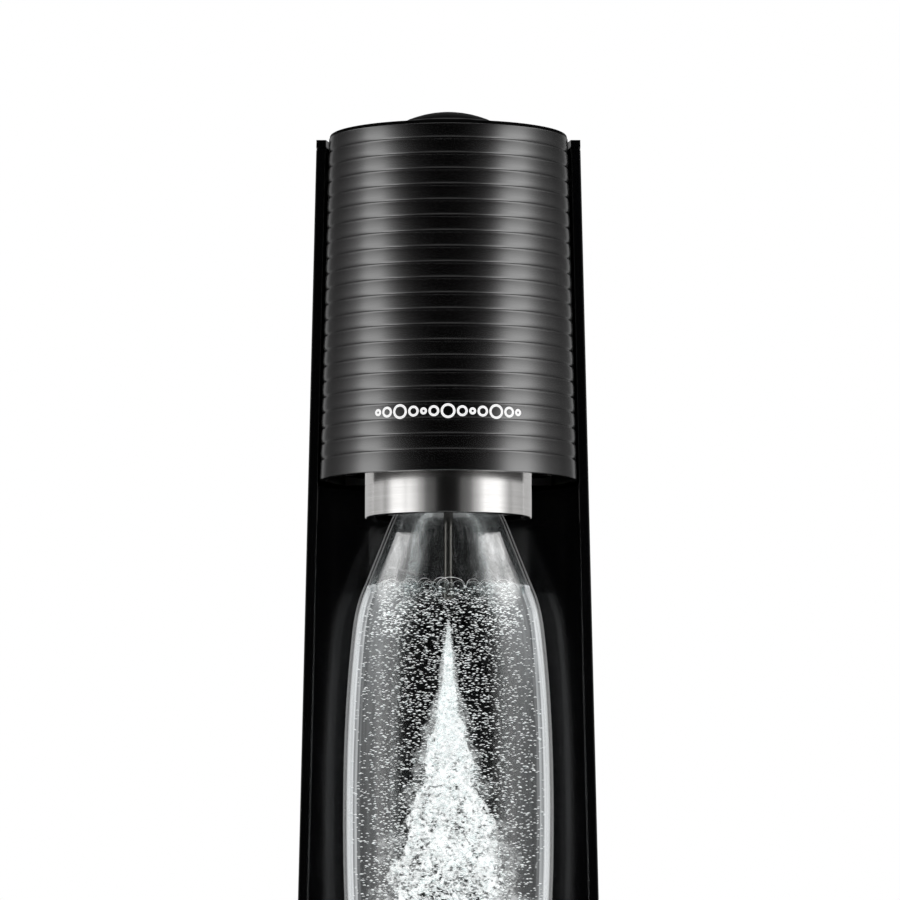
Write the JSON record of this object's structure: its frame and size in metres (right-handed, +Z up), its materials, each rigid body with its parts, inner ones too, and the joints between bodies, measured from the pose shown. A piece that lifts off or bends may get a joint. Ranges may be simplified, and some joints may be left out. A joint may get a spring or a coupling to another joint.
{
  "type": "soda carbonator",
  "caption": "Upright manual soda carbonator: ribbed round head with press button, steel collar, tilting bottle cradle, clear bottle in a concave bay, gas cylinder behind a rear cover.",
  "frame": {"origin": "middle of the footprint, on the surface that the feet stand on", "axes": "+Z up, -Y to the front where the bottle hangs, +X to the right seen from the front"},
  "size_m": [0.1326, 0.1946, 0.43],
  "materials": {
    "gloss_black": "gloss",
    "satin_black": "satin",
    "stainless": "brushed",
    "steel": "plain",
    "white_lacquer": "gloss",
    "brass": "machined",
    "magenta": "gloss",
    "clear_pet": "clear",
    "clear_tube": "clear",
    "rubber": "matte",
    "silicone": "matte",
    "nylon": "moulded",
    "acetal": "moulded",
    "spring_steel": "drawn",
    "copper_pipe": "drawn"
  },
  "bodies": {
    "housing": {"base_shell": "gloss_black", "base_plate": "satin_black", "base_screws": "steel", "rubber_feet": "rubber", "bottle_pad": "rubber", "front_housing": "gloss_black", "tower_top_cap": "gloss_black", "inner_frame": "nylon", "frame_screws": "steel", "head_shell": "satin_black", "head_top_plate": "satin_black", "button_bezel": "satin_black", "head_bottom_plate": "satin_black", "head_screws": "steel", "head_frame": "nylon", "cradle_pins": "steel", "button_guide": "nylon", "lever_bracket": "nylon", "lever_pivot_pin": "steel", "cylinder_cup": "nylon", "quick_connect_yoke": "nylon", "yoke_screws": "steel", "socket_seal": "rubber", "gas_pipe": "copper_pipe", "pipe_union": "brass", "handle_pins": "steel", "button_spring": "spring_steel", "plunger_spring": "spring_steel"},
    "button": {"button_cap": "satin_black", "button_stem": "nylon"},
    "lever": {"actuator_lever": "steel"},
    "plunger": {"valve_plunger": "steel"},
    "gas_cylinder": {"cylinder_body": "white_lacquer", "cylinder_valve": "brass", "cylinder_collar": "magenta", "cylinder_band": "magenta"},
    "cylinder_pin": {"valve_pin": "steel"},
    "connect_handle": {"quick_connect_handle": "magenta"},
    "back_cover": {"rear_cover": "gloss_black"},
    "latch": {"cover_latch": "satin_black"},
    "bottle_cradle": {"cradle": "nylon", "snap_collar": "stainless", "nozzle_block": "acetal", "bottle_seal": "silicone", "neck_guide": "nylon", "carbonation_tube": "clear_tube", "nozzle_tip": "acetal", "relief_housing": "acetal", "relief_poppet": "brass", "relief_spring": "spring_steel", "cradle_pipe": "copper_pipe"},
    "water_bottle": {"bottle": "clear_pet", "bottle_base_cup": "satin_black"}
  },
  "joints": [
    {"name": "button_press", "type": "slide", "parent": "housing", "child": "button", "axis": [0, 0, -1], "range_m": [0, 0.006], "stiffness_N_per_m": 600, "springref_m": -0.004, "deforming": ["button_spring"]},
    {"name": "lever_rock", "type": "hinge", "parent": "housing", "child": "lever", "pos_m": [0, 0.075, 0.392], "axis": [1, 0, 0], "range_deg": [0, 3.2]},
    {"name": "plunger_slide", "type": "slide", "parent": "housing", "child": "plunger", "axis": [0, 0, -1], "range_m": [0, 0.0012], "deforming": ["plunger_spring"]},
    {"name": "pin_slide", "type": "slide", "parent": "gas_cylinder", "child": "cylinder_pin", "axis": [0, 0, -1], "range_m": [0, 0.0012]},
    {"name": "cradle_tilt", "type": "hinge", "parent": "housing", "child": "bottle_cradle", "pos_m": [0, -0.005, 0.33], "axis": [-1, 0, 0], "range_deg": [0, 10]},
    {"name": "bottle_release", "type": "slide", "parent": "bottle_cradle", "child": "water_bottle", "axis": [0, 0, -1], "range_m": [0, 0.0045]},
    {"name": "cover_pull", "type": "slide", "parent": "housing", "child": "back_cover", "axis": [0, 1, 0], "range_m": [0, 0.12]},
    {"name": "latch_press", "type": "slide", "parent": "back_cover", "child": "latch", "axis": [0, -1, 0], "range_m": [0, 0.0015], "stiffness_N_per_m": 300, "springref_m": -0.002},
    {"name": "handle_lift", "type": "hinge", "parent": "housing", "child": "connect_handle", "pos_m": [0, 0.054, 0.352], "axis": [1, 0, 0], "range_deg": [0, 70]},
    {"name": "cylinder_drop", "type": "slide", "parent": "housing", "child": "gas_cylinder", "axis": [0, 0, -1], "range_m": [0, 0.003]}
  ],
  "couplings": [
    {"joint": "lever_rock", "follows": "button_press", "rad_per_m": 9.009},
    {"joint": "plunger_slide", "follows": "button_press", "ratio": 0.1892},
    {"joint": "pin_slide", "follows": "button_press", "ratio": 0.1892}
  ]
}
